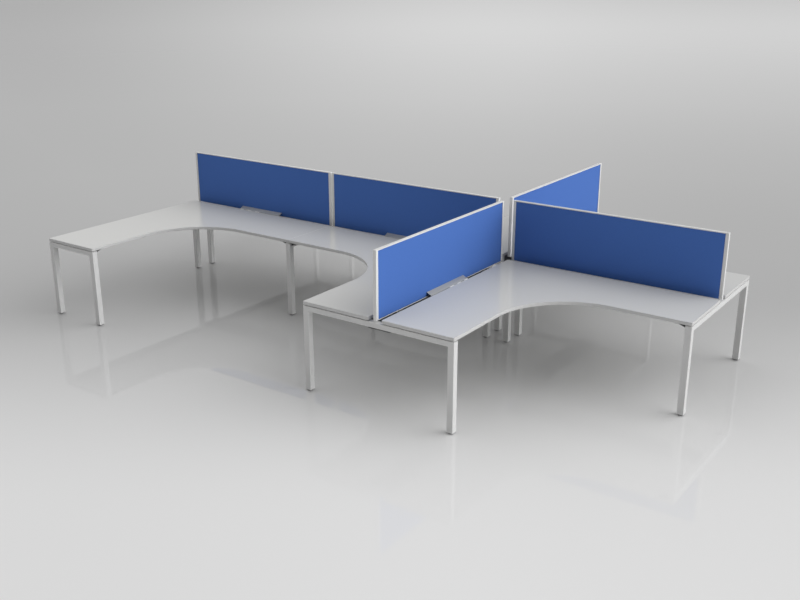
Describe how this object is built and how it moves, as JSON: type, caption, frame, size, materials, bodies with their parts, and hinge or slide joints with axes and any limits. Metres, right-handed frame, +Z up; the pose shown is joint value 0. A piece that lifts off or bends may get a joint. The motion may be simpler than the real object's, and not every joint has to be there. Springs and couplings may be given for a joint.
{
  "type": "office workstation",
  "caption": "Cluster of L-shaped desks on white steel frames, with blue fabric screens, cable trays and hinged cable flaps between them.",
  "frame": {"origin": "middle of the footprint, on the floor", "axes": "+X along the long row of screens towards the end of the cross, +Y towards the back desks, +Z up"},
  "size_m": [5.52, 3.72, 1.221],
  "materials": {
    "desktop_board": "white melamine facing, low satin sheen",
    "edge_band": "satin edge band, slightly greyer than the top",
    "white_steel": "white powder coat, fine orange peel",
    "bolt_steel": "zinc-plated",
    "dark_steel": "dark grey powder coat",
    "foot_plastic": "moulded grey nylon",
    "screen_fabric": "plain-woven blue polyester",
    "screen_profile": "satin white powder coat on aluminium",
    "flap_aluminium": "satin anodised",
    "hinge_steel": "bright steel"
  },
  "bodies": {
    "workstation": {"desktop_front_right": "desktop_board", "desktop_back_right": "desktop_board", "desktop_front_middle": "desktop_board", "desktop_back_middle": "desktop_board", "desktop_front_left": "desktop_board", "desktop_back_left": "desktop_board", "edge_bands": "edge_band", "end_frame_right": "white_steel", "end_frame_front": "white_steel", "end_frame_back": "white_steel", "middle_frame": "white_steel", "end_frame_left_front": "white_steel", "end_frame_left_back": "white_steel", "corner_leg_front_right": "white_steel", "corner_leg_back_right": "white_steel", "corner_leg_front_middle": "white_steel", "corner_leg_back_middle": "white_steel", "corner_leg_front_left": "white_steel", "corner_leg_back_left": "white_steel", "beam_right_front": "white_steel", "beam_right_back": "white_steel", "beam_front_right": "white_steel", "beam_front_left": "white_steel", "beam_back_right": "white_steel", "beam_back_left": "white_steel", "beam_middle_front": "white_steel", "beam_middle_back": "white_steel", "beam_left_front": "white_steel", "beam_left_back": "white_steel", "beam_end_front": "white_steel", "beam_end_back": "white_steel", "frame_bolts": "bolt_steel", "top_brackets": "dark_steel", "leg_plugs": "foot_plastic", "levelling_glides": "foot_plastic", "cable_tray_right": "dark_steel", "cable_tray_front": "dark_steel", "cable_tray_back": "dark_steel", "cable_tray_middle": "dark_steel", "cable_tray_left": "dark_steel", "screen_panel_right": "screen_fabric", "screen_panel_front": "screen_fabric", "screen_panel_back": "screen_fabric", "screen_panel_middle": "screen_fabric", "screen_panel_left": "screen_fabric", "screen_frame_right": "screen_profile", "screen_frame_front": "screen_profile", "screen_frame_back": "screen_profile", "screen_frame_middle": "screen_profile", "screen_frame_left": "screen_profile", "screen_supports": "dark_steel", "flap_hinge_leaves": "hinge_steel", "flap_hinge_pins": "hinge_steel"},
    "flap_front_right": {"cable_flap_front_right": "flap_aluminium"},
    "flap_back_right": {"cable_flap_back_right": "flap_aluminium"},
    "flap_front_middle": {"cable_flap_front_middle": "flap_aluminium"},
    "flap_back_middle": {"cable_flap_back_middle": "flap_aluminium"},
    "flap_front_left": {"cable_flap_front_left": "flap_aluminium"},
    "flap_back_left": {"cable_flap_back_left": "flap_aluminium"}
  },
  "joints": [
    {"name": "flap_hinge_front_right", "type": "hinge", "parent": "workstation", "child": "flap_front_right", "pos_m": [0.956, -0.96, 0.721], "axis": [0, 1, 0], "range_deg": [0, 140]},
    {"name": "flap_hinge_back_right", "type": "hinge", "parent": "workstation", "child": "flap_back_right", "pos_m": [1.86, 0.056, 0.721], "axis": [-1, 0, 0], "range_deg": [0, 140]},
    {"name": "flap_hinge_front_middle", "type": "hinge", "parent": "workstation", "child": "flap_front_middle", "pos_m": [-0.06, -0.056, 0.721], "axis": [1, 0, 0], "range_deg": [0, 140]},
    {"name": "flap_hinge_back_middle", "type": "hinge", "parent": "workstation", "child": "flap_back_middle", "pos_m": [0.844, 0.96, 0.721], "axis": [0, -1, 0], "range_deg": [0, 140]},
    {"name": "flap_hinge_front_left", "type": "hinge", "parent": "workstation", "child": "flap_front_left", "pos_m": [-1.86, -0.056, 0.721], "axis": [1, 0, 0], "range_deg": [0, 140]},
    {"name": "flap_hinge_back_left", "type": "hinge", "parent": "workstation", "child": "flap_back_left", "pos_m": [-1.86, 0.056, 0.721], "axis": [-1, 0, 0], "range_deg": [0, 140]}
  ]
}
